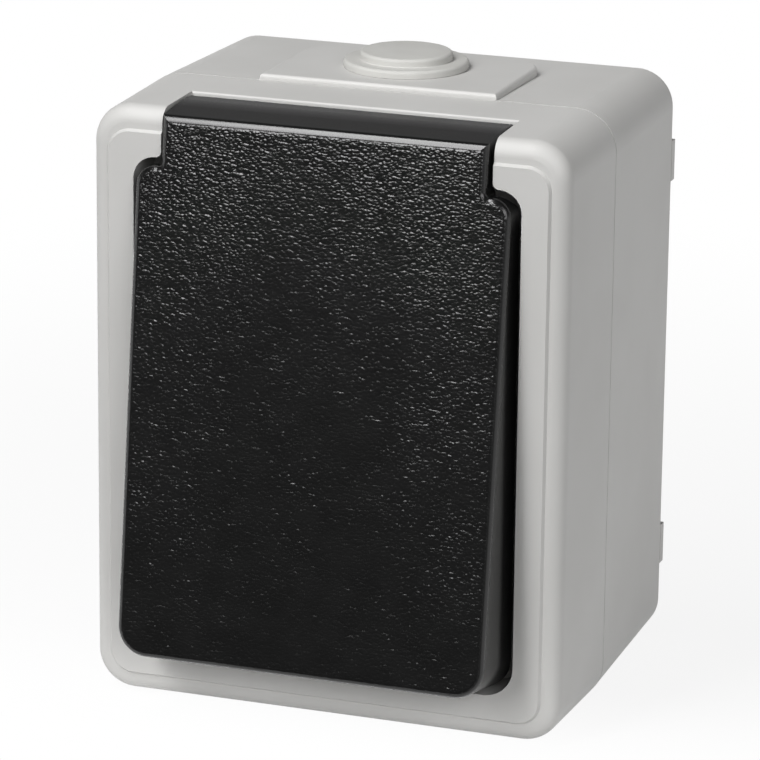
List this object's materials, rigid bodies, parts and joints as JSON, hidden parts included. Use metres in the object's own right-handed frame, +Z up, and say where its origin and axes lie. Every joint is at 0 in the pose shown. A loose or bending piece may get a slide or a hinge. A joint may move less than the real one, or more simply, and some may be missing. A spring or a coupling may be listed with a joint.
{
  "type": "outdoor weatherproof socket",
  "caption": "Surface-mounted weatherproof socket: grey housing with top cable entry, sprung black flap on a hinge pin, and a round earthed plug well behind it.",
  "frame": {"origin": "on the rear base's back face, midway between the two wall screw holes", "axes": "+Y into the wall, +Z up, +X to the right as seen by the person who plugs in; the flap faces -Y"},
  "size_m": [0.066, 0.0606, 0.0844],
  "materials": {
    "housing_grey": "light grey moulded plastic, fine satin",
    "grommet_grey": "light grey soft moulding",
    "seal_black": "black sealing rubber",
    "lid_black": "black moulded plastic, leather grain on the front, smooth edges",
    "steel": "zinc plated",
    "insert_grey": "light grey heat-proof plastic",
    "plated_strip": "nickel plated strip",
    "brass": "plain brass"
  },
  "bodies": {
    "housing": {"rear_base": "housing_grey", "cover_frame": "housing_grey", "cable_grommet": "grommet_grey", "housing_gasket": "seal_black", "collar_seal": "seal_black", "hinge_pin": "steel", "lid_spring": "steel", "cover_screws": "steel", "insert_screws": "steel", "carrier_screw": "steel", "live_screw": "steel", "neutral_screw": "steel", "earth_screw": "steel", "socket_insert": "insert_grey", "contact_carrier": "insert_grey", "carrier_cover": "insert_grey", "earth_strap": "plated_strip", "live_contact": "brass", "neutral_contact": "brass", "live_terminal": "brass", "neutral_terminal": "brass", "earth_terminal": "brass"},
    "flap": {"lid": "lid_black", "lid_gasket": "seal_black"}
  },
  "joints": [
    {"name": "lid_open", "type": "hinge", "parent": "housing", "child": "flap", "pos_m": [0, -0.0436, 0.0372], "axis": [-1, 0, 0], "range_deg": [0, 110], "stiffness_Nm_per_rad": 0.02, "springref_deg": -34.38, "deforming": ["lid_spring"]}
  ]
}
